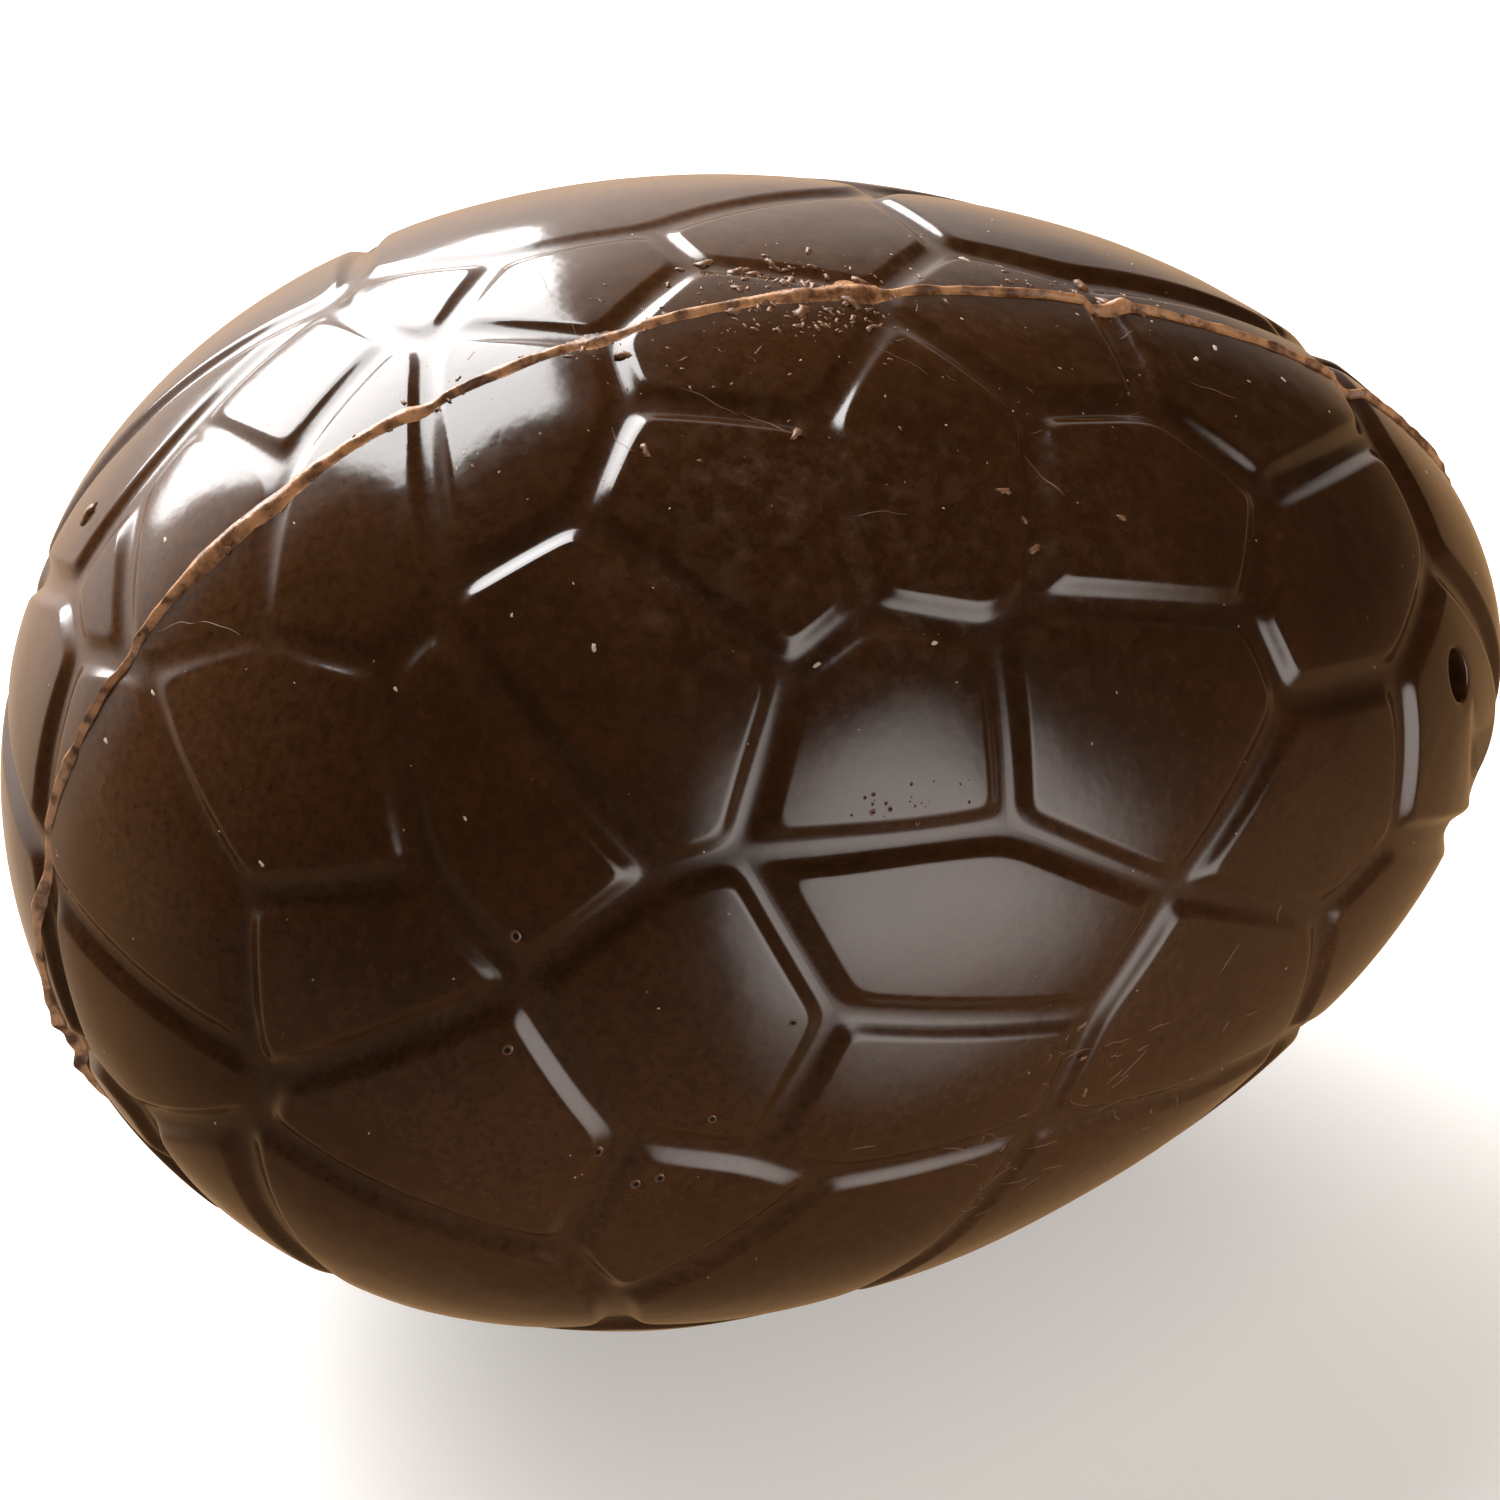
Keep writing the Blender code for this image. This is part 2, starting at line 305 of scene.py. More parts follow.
def patch(plate, centre):
    """Skin points of one plate, ring by ring from its outline to its middle. On the wall a
    ring's share of the way is found by halving, so that it keeps its distance from the
    groove. On the crown the rings close in evenly."""
    ring = outline(plate, centre)
    spokes = ring - centre
    shares = [np.ones(len(ring))]
    for wanted in RIM_RINGS:
        low = np.zeros(len(ring))
        high = np.ones(len(ring))
        for _ in range(14):
            middle = (low + high) / 2
            far = groove_distance(onto_facet_skin(centre + spokes * middle[:, None])) > wanted
            low = np.where(far, middle, low)
            high = np.where(far, high, middle)
        shares.append(np.clip(low, shares[-1] * 0.85, shares[-1] * 0.99))
    share = np.concatenate((shares, CROWN_RINGS[:, None] * shares[-1]))
    return onto_skin(centre + spokes[None] * share[..., None])


def onto_facet_skin(points):
    """A quick stand-in for onto_skin near the skin: scales each point by its shortfall."""
    out = np.linalg.norm(points[..., 1:], axis=-1)
    x = points[..., 0]
    size = np.sqrt((x / (EGG_LENGTH / 2)) ** 2
                   + (out / (GIRTH_RADIUS * (1 - TAPER * x / (EGG_LENGTH / 2)))) ** 2)
    return points / size[..., None]


def plate_centres():
    """The middle of each plate's outline, or the vent hole's place in the plate that has
    it, so that this plate's rings can run round the hole."""
    centres = []
    for plate, touch in enumerate(TOUCH):
        start = touch / (touch @ FACETS[plate])
        inner = start
        if np.argmax(FACETS @ start) != plate:
            inner = inner_point(plate, start)
        ring = outline(plate, inner)
        centres.append(ring.mean(axis=0))
    return np.array(centres)


def inner_point(plate, start):
    """A point of the plate's facet that no other plate owns, found by stepping away from
    the worst neighbour."""
    point = start.copy()
    for _ in range(400):
        worst = np.argmax(FACETS @ point)
        if worst == plate:
            break
        push = FACETS[plate] - FACETS[worst]
        push -= FACETS[plate] * (push @ FACETS[plate]) / (FACETS[plate] @ FACETS[plate])
        gap = (FACETS[worst] - FACETS[plate]) @ point
        point += push * (gap + 2e-3) / (push @ push)
    return point


CENTRES = plate_centres()
owned = np.argmax(CENTRES @ FACETS.T, axis=1) == np.arange(len(FACETS))
VENT_PLATE = int(np.argmax(FACETS @ VENT))
CENTRES[VENT_PLATE] = VENT / (VENT @ FACETS[VENT_PLATE])
print("plates whose middle is their own:", owned.sum(), "vent hole in plate", VENT_PLATE)

# %% [markdown]
# ## Meshes from grids
# Every new piece here is a grid of points with two parameters, so one helper can turn any
# of them into a mesh: it numbers the points row by row and joins each small square.

# %% From a grid of points to a mesh
def grid_faces(rows, columns, closed):
    """Corner numbers of the squares between neighbouring rows and columns. If closed, the
    last column joins the first."""
    last = columns if closed else columns - 1
    row, column = np.meshgrid(np.arange(rows - 1), np.arange(last), indexing="ij")
    beside = (column + 1) % columns
    corners = (row * columns + column, row * columns + beside,
               (row + 1) * columns + beside, (row + 1) * columns + column)
    return np.stack(corners, axis=-1).reshape(-1, 4)


def joined_grids(grids, closed=True):
    """Puts several grids end to end: all their points in one array, and all their faces."""
    points = []
    faces = []
    start = 0
    for grid in grids:
        points.append(grid.reshape(-1, 3))
        faces.append(grid_faces(*grid.shape[:2], closed) + start)
        start += len(points[-1])
    return np.concatenate(points), np.concatenate(faces)


def merge_points(mesh):
    """Merges the points that patches share, and those in the middle of each patch."""
    work = bmesh.new()
    work.from_mesh(mesh)
    bmesh.ops.remove_doubles(work, verts=work.verts, dist=0.0002 * MM)
    work.to_mesh(mesh)
    work.free()


def new_piece(name, points, faces, attributes=None):
    """A smooth mesh object at the origin, in metres, that rides with the egg."""
    mesh = bpy.data.meshes.new(name)
    mesh.from_pydata(points.tolist(), [], faces.tolist())
    for key, values in (attributes or {}).items():
        mesh.attributes.new(key, "FLOAT", "POINT").data.foreach_set("value", values)
    merge_points(mesh)
    mesh.shade_smooth()
    piece = bpy.data.objects.new(name, mesh)
    bpy.context.scene.collection.objects.link(piece)
    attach(piece, "root")
    triangles = sum(len(face.vertices) - 2 for face in mesh.polygons)
    print(name, "triangles:", triangles)
    return piece


# %% [markdown]
# ## The vent hole
# A mould for a hollow egg leaves a hole where air gets out while the egg is turned and
# sets. Here it is a small oval pit with a soft rim beside the narrow end. The grid of its
# plate already runs round it, so three more rings are enough: the rim, the wall and the
# dark bottom. A Boolean cut would leave long thin triangles that catch the light.

# %% The rings of the vent hole
VENT_HALF_LENGTH = 1.5
VENT_HALF_WIDTH = 1.12
VENT_LEAN_DEG = -62             # how far its long side is turned from the egg's axis


def vent_oval(size, rays):
    """Points of an oval round the vent's middle, one on each ray, size times as large as
    the hole."""
    normal = skin_normal(VENT)
    lengthwise = np.array((1.0, 0.0, 0.0)) - normal * normal[0]
    lengthwise /= np.linalg.norm(lengthwise)
    sideways = np.cross(normal, lengthwise)
    angle = np.arctan2(rays @ sideways, rays @ lengthwise) - math.radians(VENT_LEAN_DEG)
    reach = size / np.hypot(np.cos(angle) / VENT_HALF_LENGTH, np.sin(angle) / VENT_HALF_WIDTH)
    turned = angle + math.radians(VENT_LEAN_DEG)
    spoke = (np.outer(np.cos(turned), lengthwise) + np.outer(np.sin(turned), sideways))
    return onto_skin(VENT + spoke * reach[:, None])


def with_vent(skin):
    """The plate's rings with the inner ones swapped for the pit's, and their heights."""
    rays = skin[0] - VENT
    sizes = (1.9, 1.5, 1.25, 1.12, 1.04, 1.0, 0.97, 0.95, 0.93, 0.5, 0.02)
    depths = (0.0, 0.0, 0.0, 0.01, 0.04, 0.12, 0.35, 0.9, 2.4, 2.8, 2.8)
    reach = np.linalg.norm(skin - VENT, axis=-1)
    rim = np.linalg.norm(vent_oval(sizes[0], rays) - VENT, axis=-1)
    outer = [row for row, far in zip(skin, reach) if np.all(far > rim * 1.08)]
    rings = outer + [vent_oval(size, rays) for size in sizes]
    drop = np.array([0.0] * len(outer) + list(depths))
    grid = np.array(rings)
    height = relief(grid)
    level = relief(VENT[None])[0]
    height[drop > 0.1] = level
    return grid + skin_normal(grid) * (height - drop[:, None])[..., None], grid


# %% [markdown]
# ## The skin
# The patches are joined into four sheets, from the blunt end to the narrow end, so that no
# mesh gets too heavy. Three numbers are kept on each point for the finish: how far it is
# from a groove, how scuffed it is, and how much painted bounce light it gets. Scuffs are
# where eggs rub in their box, beside the seam. The painted bounce light is a paler brown
# and a duller skin on the blunt end, on the back and low in front, where light bounced
# from the table falls. Both are laid as a few soft spots.

# %% Build the sheets
SCUFFS = (
    # station, turn, radius in mm, strength
    (104, 22, 7, 1.0), (96, 30, 8, 0.8), (84, 30, 8, 0.6), (112, 30, 6, 0.7),
    (84, -6, 9, 0.8), (70, 6, 7, 0.5), (128, 8, 7, 0.3), (60, 20, 6, 0.4), (150, 20, 7, 0.3),
)
# Painted bounce light: where light bounced from the table falls, the skin is painted a paler
# brown and made duller.
PAINTED_BOUNCE_AND_DULL_SPOTS = (
    (150, -30, 15, 0.8), (162, 10, 12, 0.7), (100, -25, 14, 0.7), (125, -35, 12, 0.6),
    (80, 110, 22, 0.6), (120, 105, 18, 0.4), (60, 100, 14, 0.5),
)


def spotted(points, spots):
    """From zero to one: the strongest of some round soft spots."""
    total = np.zeros(points.shape[:-1])
    for station, turn, radius, strength in spots:
        apart = np.linalg.norm(points - skin_point(station, turn), axis=-1)
        total = np.maximum(total, strength * np.exp(-(apart / radius) ** 2))
    return total


def plate_grid(plate):
    """The finished points of a plate, and its smooth skin points."""
    skin = patch(plate, CENTRES[plate])
    if plate == VENT_PLATE:
        return with_vent(skin)
    return raised(skin), skin


GRIDS = [plate_grid(plate) for plate in range(len(FACETS))]
ORDER = np.argsort([grid[1][0, :, 0].mean() for grid in GRIDS])
SHEETS = []
for number, group in enumerate(np.array_split(ORDER, 4)):
    points, faces = joined_grids([GRIDS[plate][0] for plate in group])
    skin, _ = joined_grids([GRIDS[plate][1] for plate in group])
    finish = {"groove": groove_distance(skin), "scuff": spotted(skin, SCUFFS),
              "painted_bounce_and_dull": spotted(skin, PAINTED_BOUNCE_AND_DULL_SPOTS)}
    sheet = new_piece(f"skin_{number + 1}", laid_down(points), faces, finish)
    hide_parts("egg")
    SHEETS.append(sheet)

# %% [markdown]
# ## The fin along the seam
# Where the two halves were pressed together, soft chocolate squeezed out and was trimmed by
# hand. That leaves a thin, ragged, paler fin all round, thicker in places and smeared in
# others. It is a narrow strip whose section is a small ridge. Noise along the seam changes
# its height, its width and its line, and a few lumps are set where the real one has them.

# %% Sweep the fin
FIN_SECTION = np.array(((-1.5, -0.06), (-0.9, 0.02), (-0.55, 0.35), (-0.3, 0.85),
                        (0.0, 1.0), (0.3, 0.85), (0.55, 0.35), (0.9, 0.02), (1.5, -0.06)))
FIN_STEPS = 2400
FIN_LUMPS = (
    # where along the seam in degrees, spread in degrees, extra height, extra half width
    (146, 5, 0.20, 0.28), (138, 4, 0.15, 0.20), (128, 3, 0.05, 0.12), (91, 1.8, 0.32, 0.50),
    (96, 2.5, 0.05, 0.20), (69, 1.0, 0.20, 0.25), (112, 2, 0.10, 0.10), (202, 4, 0.40, 0.15),
)


def rough(along, seed, finest):
    """Noise from minus one to one round a closed seam: sines of whole turns, weaker as
    they get finer."""
    random = np.random.default_rng(seed)
    total = np.zeros(len(along))
    weight = 0
    for turns in range(3, finest, 5):
        share = turns ** -0.55
        total += share * np.sin(np.radians(along) * turns + random.uniform(0, 2 * math.pi))
        weight += share ** 2
    return total / math.sqrt(weight)


def fin():
    """The strip. One parameter is the station along the seam, over the top and back
    underneath, and the other goes across the ridge."""
    along = np.linspace(0, 360, FIN_STEPS, endpoint=False)
    station = np.where(along <= 180, along, 360 - along)
    turn = np.where(along <= 180, 0.0, 180.0)
    height = np.clip(0.27 + 0.09 * rough(along, 21, 160), 0.08, 0.5)
    half = np.clip(0.33 + 0.07 * rough(along, 22, 110), 0.18, 0.6)
    wander = 0.10 * rough(along, 23, 20)
    for middle, spread, higher, wider in FIN_LUMPS:
        bump = np.exp(-((along - middle) / spread) ** 2)
        height += higher * bump
        half += wider * bump
    foot = skin_point(station, turn)
    across = FIN_SECTION[:, 0, None] * half + wander
    skin = np.repeat(foot[None], len(FIN_SECTION), axis=0)
    skin[..., 2] = across
    skin = onto_skin(skin)
    rise = FIN_SECTION[:, 1, None] * height
    return raised(skin, rise)


points, faces = joined_grids([fin()])
FIN = new_piece("seam_fin", laid_down(points), faces)

# %% [markdown]
# ## Crumbs, specks and pinholes
# A trimmed fin sheds crumbs, dust settles on the gloss, and air bubbles at the mould's face
# leave pinholes with a raised rim. A pinhole's pit is not cut: its middle stays level and is
# painted near black, as painted shade. Each is a tiny turned shape: one parameter goes round
# it and the other follows its profile from the foot to the middle. All of one kind are joined
# into one mesh. The larger ones lie where the real egg has them and the rest are strewn.

# %% Scatter the small bits
CRUMBS = (
    # station, turn, radius in mm: on the seam's lumps, then single ones
    (92, 1.5, 0.45), (91, 0, 0.5), (90, -2, 0.3), (96, 2.3, 0.4), (98, 0, 0.3), (70, -5, 0.4),
    (69, 0, 0.45), (67, 1, 0.3), (110, 3, 0.35), (145, 0.5, 0.4), (142, 0, 0.35),
    (136, -0.4, 0.35), (100, -8, 0.35), (98, -6, 0.3), (95, -3, 0.3), (87, 26, 0.25),
    (86, 29, 0.2), (85.5, 32, 0.25), (85, 83, 0.22), (84.6, 87, 0.18), (84, 92, 0.2),
    (150, -41, 0.45), (112, 15, 0.25), (101, 17, 0.25), (78, 30, 0.2),
)
SPECKS = (
    (120.4, 34, 0.16), (104.5, 40, 0.17), (95.7, 40, 0.14), (80, -6, 0.22), (77, -6, 0.2),
    (64, 8, 0.17), (61, 5, 0.17), (54.5, 8, 0.15), (148.6, -11, 0.15), (163.5, 12, 0.13),
    (170.5, -2, 0.13), (157, 12, 0.13), (136, 32, 0.12), (132.6, 49, 0.1), (150.4, 52, 0.12),
)
PINHOLES = (
    (129.7, 63, 0.2), (130.4, 77, 0.2), (122.6, 90, 0.22), (119.2, 94, 0.2), (117.5, 93, 0.2),
    (114.4, 85, 0.17), (109, 74.5, 0.17),
)
CRUMB_PROFILE = np.array(((0.9, -0.4), (1.0, 0.1), (0.7, 0.35), (0.35, 0.5), (0.0, 0.5)))
# The pinhole's profile ends level in its middle: its pit is painted shade, not cut.
PINHOLE_PROFILE = np.array(((1.5, -0.1), (1.15, 0.22), (0.9, 0.22), (0.65, 0.05), (0.0, 0.05)))


def strewn(count, middle, spread, largest, seed):
    """Random places about a middle, given as station and turn, with mostly small radii."""
    random = np.random.default_rng(seed)
    station = np.clip(random.normal(middle[0], spread[0], count), 4, 176)
    turn = random.normal(middle[1], spread[1], count)
    return np.column_stack((station, turn, largest * random.uniform(0.25, 1, count) ** 1.6))


def turned_bits(places, profile, unevenness, seed):
    """One small turned shape on the skin at each place, with random bumps in its radius."""
    station, turn, size = np.array(places).T
    foot = skin_point(station, turn)
    normal = skin_normal(foot)
    first = np.cross(normal, (0.3, 0.5, 0.81))
    first /= np.linalg.norm(first, axis=-1, keepdims=True)
    second = np.cross(normal, first)
    angle = np.linspace(0, 2 * math.pi, 10, endpoint=False)
    spoke = (first[:, None] * np.cos(angle)[:, None] + second[:, None] * np.sin(angle)[:, None])
    random = np.random.default_rng(seed)
    bumps = random.normal(1, unevenness, (len(size), len(profile), 10))
    long_side = random.uniform(0, math.pi, (len(size), 1))
    bumps *= (1 + 2 * unevenness * np.cos(2 * (angle - long_side)))[:, None]
    reach = size[:, None, None] * profile[:, 0, None] * bumps
    rise = size[:, None] * profile[:, 1]
    grid = raised(foot)[:, None, None] + spoke[:, None] * reach[..., None]
    return list(grid + normal[:, None, None] * rise[..., None, None])


STREWN_CRUMBS = np.vstack((
    strewn(70, (105, 0), (28, 1.2), 0.20, 31), strewn(100, (97, -3), (4, 2.5), 0.26, 32),
    strewn(40, (70, -2), (4, 2), 0.18, 33), strewn(50, (100, 12), (14, 7), 0.10, 34),
    strewn(80, (95, 3.5), (3.5, 1.2), 0.17, 39)))
STREWN_SPECKS = np.vstack((
    strewn(180, (95, 40), (45, 60), 0.06, 35), strewn(90, (90, 5), (30, 14), 0.09, 36)))
BITS = {
    "seam_crumbs": (np.vstack((CRUMBS, STREWN_CRUMBS)), CRUMB_PROFILE, 0.25),
    "pale_specks": (np.vstack((SPECKS, STREWN_SPECKS)), CRUMB_PROFILE * (1, 0.5), 0.2),
    "pinholes": (np.vstack((PINHOLES, strewn(26, (99.5, 54.5), (3, 1), 0.13, 37))),
                 PINHOLE_PROFILE, 0.05),
}
PIECES = {}
for name, (places, profile, unevenness) in BITS.items():
    points, faces = joined_grids(turned_bits(places, profile, unevenness, 38))
    # The two inner rows of each bit are marked for painted shade; only the pinholes' material
    # reads it and paints them near black.
    painted_pit_shade = np.tile(np.repeat((0.0, 0.0, 0.2, 1.0, 1.0), 10), len(places))
    PIECES[name] = new_piece(name, laid_down(points), faces, {"painted_pit_shade": painted_pit_shade})

# %% [markdown]
# ## Hair cracks and scratches
# Where the halves were pressed, the skin has a few hair cracks that dried pale, and the
# gloss has light scratches. Each is a narrow ribbon on the skin: one parameter runs along
# it and the other across. It tapers to nothing at both ends and wanders a little.

# %% Lay the ribbons
SCRATCHES = (
    # station and turn at both ends
    (154.2, 2, 150, 8), (150, 8, 146.7, 15), (107.5, 9, 104, 13), (104, 13, 100.6, 17),
    (80, 17.5, 75.5, 18), (75.5, 18, 71, 16), (111.4, -16.5, 112, -8), (112, -8, 112.3, -1),
    (113.5, 11, 112.8, 15), (92, 8, 89, 12), (66, 12, 62, 14), (99, 26, 95, 27), (84, 22, 82, 27),
)


def strewn_strokes(count, middle, spread, longest, seed):
    """Short strokes at random places about a middle, given as station and turn."""
    random = np.random.default_rng(seed)
    start = random.normal(middle, spread, (count, 2))
    return np.hstack((start, start + random.uniform(-longest, longest, (count, 2))))


def ribbons(strokes, half_width, seed):
    """Narrow strips on the skin, from one place to another, that follow the relief."""
    random = np.random.default_rng(seed)
    share = np.linspace(0, 1, 30)
    strips = []
    for station, turn, last_station, last_turn in strokes:
        bend = 0.35 * waves(np.outer(share, (7, 3, 5)) + random.uniform(0, 9, 3), 5, seed)
        middle = skin_point(station + (last_station - station) * share + bend,
                            turn + (last_turn - turn) * share + bend)
        along = np.gradient(middle, axis=0)
        side = np.cross(skin_normal(middle), along)
        side /= np.linalg.norm(side, axis=-1, keepdims=True)
        across = half_width * np.sqrt(np.sin(math.pi * share)) * random.uniform(0.6, 1.2)
        row = onto_skin(middle + np.outer((-1, 0, 1), across)[..., None] * side)
        strips.append(raised(row, np.array((-0.01, 0.02, -0.01))[:, None]))
    return strips


STROKES = np.vstack((SCRATCHES, strewn_strokes(45, (84, 96), (9, 12), 2.5, 42),
                     strewn_strokes(26, (98, 2), (14, 9), 1.5, 43)))
points, faces = joined_grids(ribbons(STROKES, 0.04, 41), closed=False)
PIECES["scratches"] = new_piece("scratches", laid_down(points), faces)

# %% [markdown]
# ## A small language for shaders
# Materials are worked out from coordinates, so that they hold from every side. Building
# the node trees by hand takes many lines for little arithmetic. A small class lets the
# nodes be written as sums and products.

# %% Sockets that can be added and multiplied
class Wire:
    """An output of a node. Arithmetic on it adds Math nodes to the tree."""

    def __init__(self, tree, socket=None):
        self.tree = tree
        self.socket = socket

    def node(self, kind, settings=None, inputs=None, output=0):
        """Adds a node of this type, sets its properties and its inputs, and returns one
        of its outputs. An input is a number, a colour or another Wire."""
        made = self.tree.nodes.new(kind)
        for name, value in (settings or {}).items():
            setattr(made, name, value)
        for name, value in (inputs or {}).items():
            if isinstance(value, Wire):
                self.tree.links.new(value.socket, made.inputs[name])
            else:
                made.inputs[name].default_value = value
        return Wire(self.tree, made.outputs[output])

    def parts(self):
        """The x, y and z of a vector."""
        split = self.tree.nodes.new("ShaderNodeSeparateXYZ")
        self.tree.links.new(self.socket, split.inputs[0])
        return [Wire(self.tree, end) for end in split.outputs]

    def math(self, operation, first, second):
        return self.node("ShaderNodeMath", {"operation": operation}, {0: first, 1: second})

    def __add__(self, other):
        return self.math("ADD", self, other)

    def __radd__(self, other):
        return self.math("ADD", other, self)

    def __sub__(self, other):
        return self.math("SUBTRACT", self, other)

    def __rsub__(self, other):
        return self.math("SUBTRACT", other, self)

    def __mul__(self, other):
        return self.math("MULTIPLY", self, other)

    def __rmul__(self, other):
        return self.math("MULTIPLY", other, self)

    def between(self, low, high):
        """Zero below low and one above high, with a smooth rise between them."""
        return self.node("ShaderNodeMapRange", {"interpolation_type": "SMOOTHSTEP"},
                         {"Value": self, "From Min": low, "From Max": high})

    def mix(self, first, second):
        """From the first colour to the second as this goes from zero to one."""
        return self.node("ShaderNodeMix", {"data_type": "RGBA"},
                         {0: self, 6: first, 7: second}, output=2)


def new_material(name):
    """A material with only a Principled shader, as its node and as a Wire to build on."""
    material = bpy.data.materials.new(name)
    material.use_nodes = True
    shader = material.node_tree.nodes["Principled BSDF"]
    return material, shader, Wire(material.node_tree)


def noise(wire, place, size, detail=2.0, roughness=0.5):
    """Soft noise about 0.5 whose blobs are this many metres across."""
    return wire.node("ShaderNodeTexNoise", {},
                     {"Vector": place, "Scale": 1 / size, "Detail": detail,
                      "Roughness": roughness})


def attribute(wire, name):
    """A number that the mesh keeps on its points."""
    return wire.node("ShaderNodeAttribute", {"attribute_name": name}, output=2)


def connect(shader, name, wire):
    wire.tree.links.new(wire.socket, shader.inputs[name])


# %% [markdown]
# ## Dark chocolate
# Well tempered chocolate is a very dark brown body under a smooth skin of cocoa butter. It
# mirrors a window sharply, yet its skin is never perfect: it has a faint orange peel, and
# where it was rubbed it turns dull and a little grey. Colour, roughness and bump each get a
# noise of their own size. The scuffs from the mesh make the skin rougher and paler.

# %% The chocolate's finish
BODY = (0.016, 0.0058, 0.0017, 1)
BODY_WARM = (0.036, 0.0130, 0.0038, 1)
DUST = (0.150, 0.080, 0.045, 1)
# The paler brown of the painted bounce light.
PAINTED_BOUNCE_BROWN = (0.085, 0.034, 0.012, 1)


def chocolate():
    material, shader, wire = new_material("dark_chocolate_skin")
    place = wire.node("ShaderNodeTexCoord", output=3)
    groove = attribute(wire, "groove")
    scuff = attribute(wire, "scuff")
    front = (-1.0 * place.parts()[1]).between(5 * MM, 24 * MM)
    cloud = noise(wire, place, 9 * MM, 3)
    mottle = noise(wire, place, 1.1 * MM, 4, 0.6)
    smear = noise(wire, place, 1.3 * MM, 6, 0.7)
    rubbed = scuff * smear.between(0.40, 0.75)
    painted_bounce_and_dull = attribute(wire, "painted_bounce_and_dull")
    fine = noise(wire, place, 0.45 * MM, 3, 0.6)
    body = (0.4 * cloud + 0.3 * mottle + 0.3 * fine).between(0.32, 0.72).mix(BODY, BODY_WARM)
    # Painted bounce light: a paler brown mixed in on the spots that light bounced from the table
    # reaches.
    with_painted_bounce = (painted_bounce_and_dull * (1.6 * fine - 0.1)).mix(body, PAINTED_BOUNCE_BROWN)
    dusty = (rubbed * 0.25).mix(with_painted_bounce, DUST)
    connect(shader, "Base Color", dusty)
    in_groove = 1.0 - groove.between(0.3, 0.9)
    connect(shader, "Roughness",
            0.05 + 0.07 * cloud + 0.04 * mottle + 0.20 * rubbed + 0.05 * in_groove
            + 0.06 * painted_bounce_and_dull + 0.07 * front)
    peel = noise(wire, place, 1.6 * MM, 2)
    grain = noise(wire, place, 0.35 * MM, 3)
    height = peel * 0.6 + grain * (0.03 + 0.25 * rubbed)
    bump = wire.node("ShaderNodeBump", {},
                     {"Strength": 0.5, "Distance": 0.05 * MM, "Height": height})
    connect(shader, "Normal", bump)
    shader.inputs["IOR"].default_value = 1.5
    return material


def fin_chocolate():
    """The torn fin is thinner, paler and more orange, and dull."""
    material, shader, wire = new_material("seam_fin_chocolate")
    place = wire.node("ShaderNodeTexCoord", output=3)
    streak = noise(wire, place, 1.2 * MM, 4, 0.6)
    colour = streak.between(0.36, 0.62).mix((0.090, 0.032, 0.010, 1), (0.40, 0.190, 0.080, 1))
    connect(shader, "Base Color", colour)
    grain = noise(wire, place, 0.3 * MM, 3)
    connect(shader, "Normal", wire.node("ShaderNodeBump", {}, {
        "Strength": 0.6, "Distance": 0.12 * MM, "Height": grain}))
    shader.inputs["Roughness"].default_value = 0.42
    return material


def pinhole_chocolate():
    """A brown rim round a near-black middle, painted shade where the pit would be: the mesh is
    level there.
    """
    material, shader, wire = new_material("pinhole_chocolate")
    painted_pit_shade = attribute(wire, "painted_pit_shade")
    # Painted shade: the pit's middle is coloured near black.
    connect(shader, "Base Color", painted_pit_shade.mix((0.10, 0.042, 0.018, 1), (0.001, 0.001, 0.001, 1)))
    connect(shader, "Roughness", 0.3 + 0.6 * painted_pit_shade)
    return material


def plain_finish(name, colour, roughness):
    material, shader, _ = new_material(name)
    shader.inputs["Base Color"].default_value = colour
    shader.inputs["Roughness"].default_value = roughness
    return material


SKIN_FINISH = chocolate()
for sheet in SHEETS:
    sheet.data.materials.append(SKIN_FINISH)
FIN.data.materials.append(fin_chocolate())
PIECES["seam_crumbs"].data.materials.append(plain_finish("crumb", (0.15, 0.066, 0.027, 1), 0.45))
PIECES["pale_specks"].data.materials.append(plain_finish("speck", (0.42, 0.31, 0.23, 1), 0.6))
PIECES["pinholes"].data.materials.append(pinhole_chocolate())
PIECES["scratches"].data.materials.append(plain_finish("scratch", (0.13, 0.068, 0.035, 1), 0.4))
print("materials:", len(bpy.data.materials))

# %% [markdown]
# ## Table, light and camera
# Gloss shows the room more than it shows the chocolate, so the room matters. The egg lies on
# a pale table. A tall window behind it gives the white reflections on its upper back. A
# weaker glow from the front right gives the soft sheen on the middle plates. Everywhere
# else the room is dim, which keeps the chocolate dark, and a soft fill lights it evenly.
# The camera looks down at the front half from the side of the blunt end.

# %% Set up the studio
VIEW_AZIMUTH_DEG = -24.75
VIEW_ELEVATION_DEG = 40.85
CAMERA_DISTANCE = 436.4 * MM
LENS = 207.2
AIM_RIGHT = -1.36 * MM
AIM_UP = -0.98 * MM
FILL_RADIANCE = 0.9
GLOW_TURN = math.radians(25)    # where the glow is, to the right of straight in front


def direction(azimuth, elevation):
    """Unit vector from the egg: azimuth 0 points to the front, 90 to the narrow end."""
    a = math.radians(azimuth)
    e = math.radians(elevation)
    return Vector((math.sin(a) * math.cos(e), -math.cos(a) * math.cos(e), math.sin(e)))


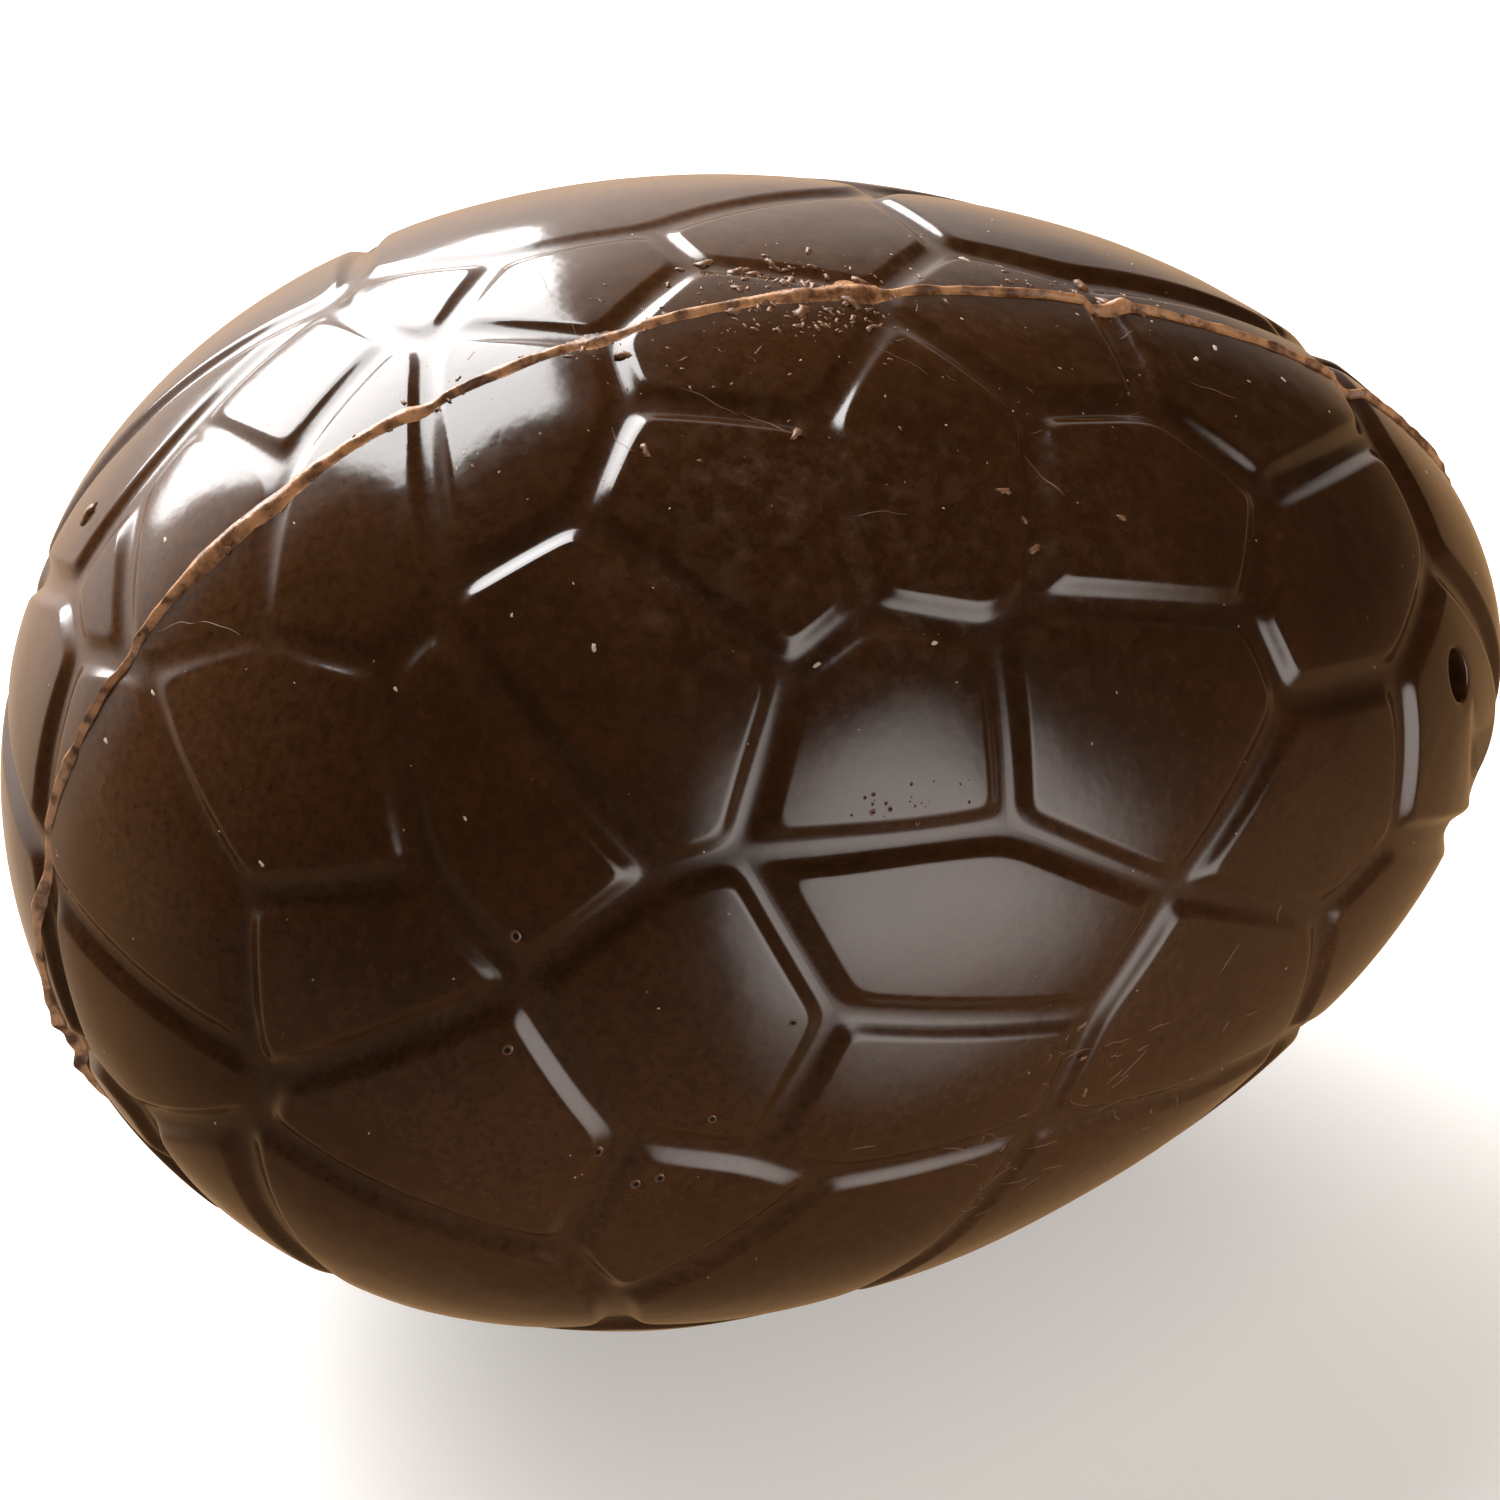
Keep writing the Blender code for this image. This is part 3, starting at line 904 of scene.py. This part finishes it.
def camera():
    """A long lens far away, aimed a little beside the egg's middle."""
    toward = direction(VIEW_AZIMUTH_DEG, VIEW_ELEVATION_DEG)
    turn = toward.to_track_quat("Z", "Y")
    lens = bpy.data.cameras.new("camera")
    lens.lens = LENS
    lens.sensor_width = 36.0
    item = bpy.data.objects.new("camera", lens)
    aim = Vector(EGG_MIDDLE) * MM + turn @ Vector((AIM_RIGHT, AIM_UP, 0))
    item.location = aim + toward * CAMERA_DISTANCE
    item.rotation_euler = turn.to_euler()
    bpy.context.scene.collection.objects.link(item)
    bpy.context.scene.camera = item
    return item


def table():
    """A pale table, lit a little from within like a light box. The egg doesn't mirror it:
    the room's lower half stands in for it there."""
    mesh = bpy.data.meshes.new("table")
    mesh.from_pydata([(-3, -3, 0), (3, -3, 0), (3, 3, 0), (-3, 3, 0)], [], [(0, 1, 2, 3)])
    item = bpy.data.objects.new("table", mesh)
    item.location.z = -0.02 * MM
    material, shader, _ = new_material("pale_table")
    shader.inputs["Base Color"].default_value = (0.82, 0.80, 0.78, 1)
    shader.inputs["Roughness"].default_value = 0.7
    shader.inputs["Emission Color"].default_value = (1.0, 0.96, 0.92, 1)
    shader.inputs["Emission Strength"].default_value = 0.38
    mesh.materials.append(material)
    item.visible_glossy = False
    bpy.context.scene.collection.objects.link(item)


def scaled(wire, colour, strength):
    """A colour times a Wire."""
    return wire.node("ShaderNodeVectorMath", {"operation": "SCALE"},
                     {0: colour, "Scale": strength})


def dim_room():
    """What the egg mirrors besides the window, by direction: a pale wall behind it, the
    warm table below, and a soft glow low in front, right of the middle."""
    room = bpy.data.worlds.new("dim_room")
    room.use_nodes = True
    bpy.context.scene.world = room
    wire = Wire(room.node_tree)
    right, behind, up = wire.node("ShaderNodeTexCoord").parts()
    wall = behind.between(0.50, 0.90) * (1.0 - up.between(0.60, 0.90))
    wall = wall * (1.0 - 0.5 * right.between(0.1, 0.6)) * (0.2 + 0.8 * up.between(-0.6, 0.15))
    aside = right * math.cos(GLOW_TURN) + behind * math.sin(GLOW_TURN)
    apart = aside * aside * 5.0 + up * up * 1.8
    glow = (1.0 - apart.between(0.1, 1.0)) * (1.0 - behind.between(-0.5, 0.0))
    glow = glow * (1.0 - up.between(0.48, 0.62)) * (0.35 + 0.65 * up.between(-0.6, 0.0))
    low = 1.0 - up.between(-0.4, 0.0)
    table_light = low * (0.09 + 0.15 * right.between(0.0, 1.0) + 0.4 * behind.between(-0.1, 0.8))
    cool = scaled(wire, (1.0, 0.93, 0.88), 0.02 + 1.9 * wall + 4.4 * glow)
    warm = scaled(wire, (1.0, 0.56, 0.24), table_light)
    light = wire.node("ShaderNodeVectorMath", {"operation": "ADD"}, {0: cool, 1: warm})
    connect(room.node_tree.nodes["Background"], "Color", light)


def window():
    """An upright window behind the egg. A light's power is its radiance times pi and its
    area."""
    light = bpy.data.lights.new("window", "AREA")
    light.shape = "RECTANGLE"
    light.size = 0.81
    light.size_y = 1.9
    light.energy = 14 * math.pi * light.size * light.size_y
    item = bpy.data.objects.new("window", light)
    item.location = (-0.115, 0.95, 1.07)
    item.rotation_euler = (math.radians(-90), 0, 0)
    bpy.context.scene.collection.objects.link(item)


def fill():
    """A broad soft light overhead and in front, which the egg doesn't mirror."""
    light = bpy.data.lights.new("fill", "AREA")
    light.size = 1.4
    light.energy = FILL_RADIANCE * math.pi * light.size ** 2
    light.color = (1.0, 0.89, 0.77)
    item = bpy.data.objects.new("fill", light)
    toward = direction(15, 65)
    item.location = toward * 1.4
    item.rotation_euler = toward.to_track_quat("Z", "Y").to_euler()
    item.visible_glossy = False
    bpy.context.scene.collection.objects.link(item)


table()
window()
fill()
dim_room()
bpy.context.scene.view_settings.view_transform = "Standard"
print("camera at, mm:", [round(value / MM) for value in camera().location])
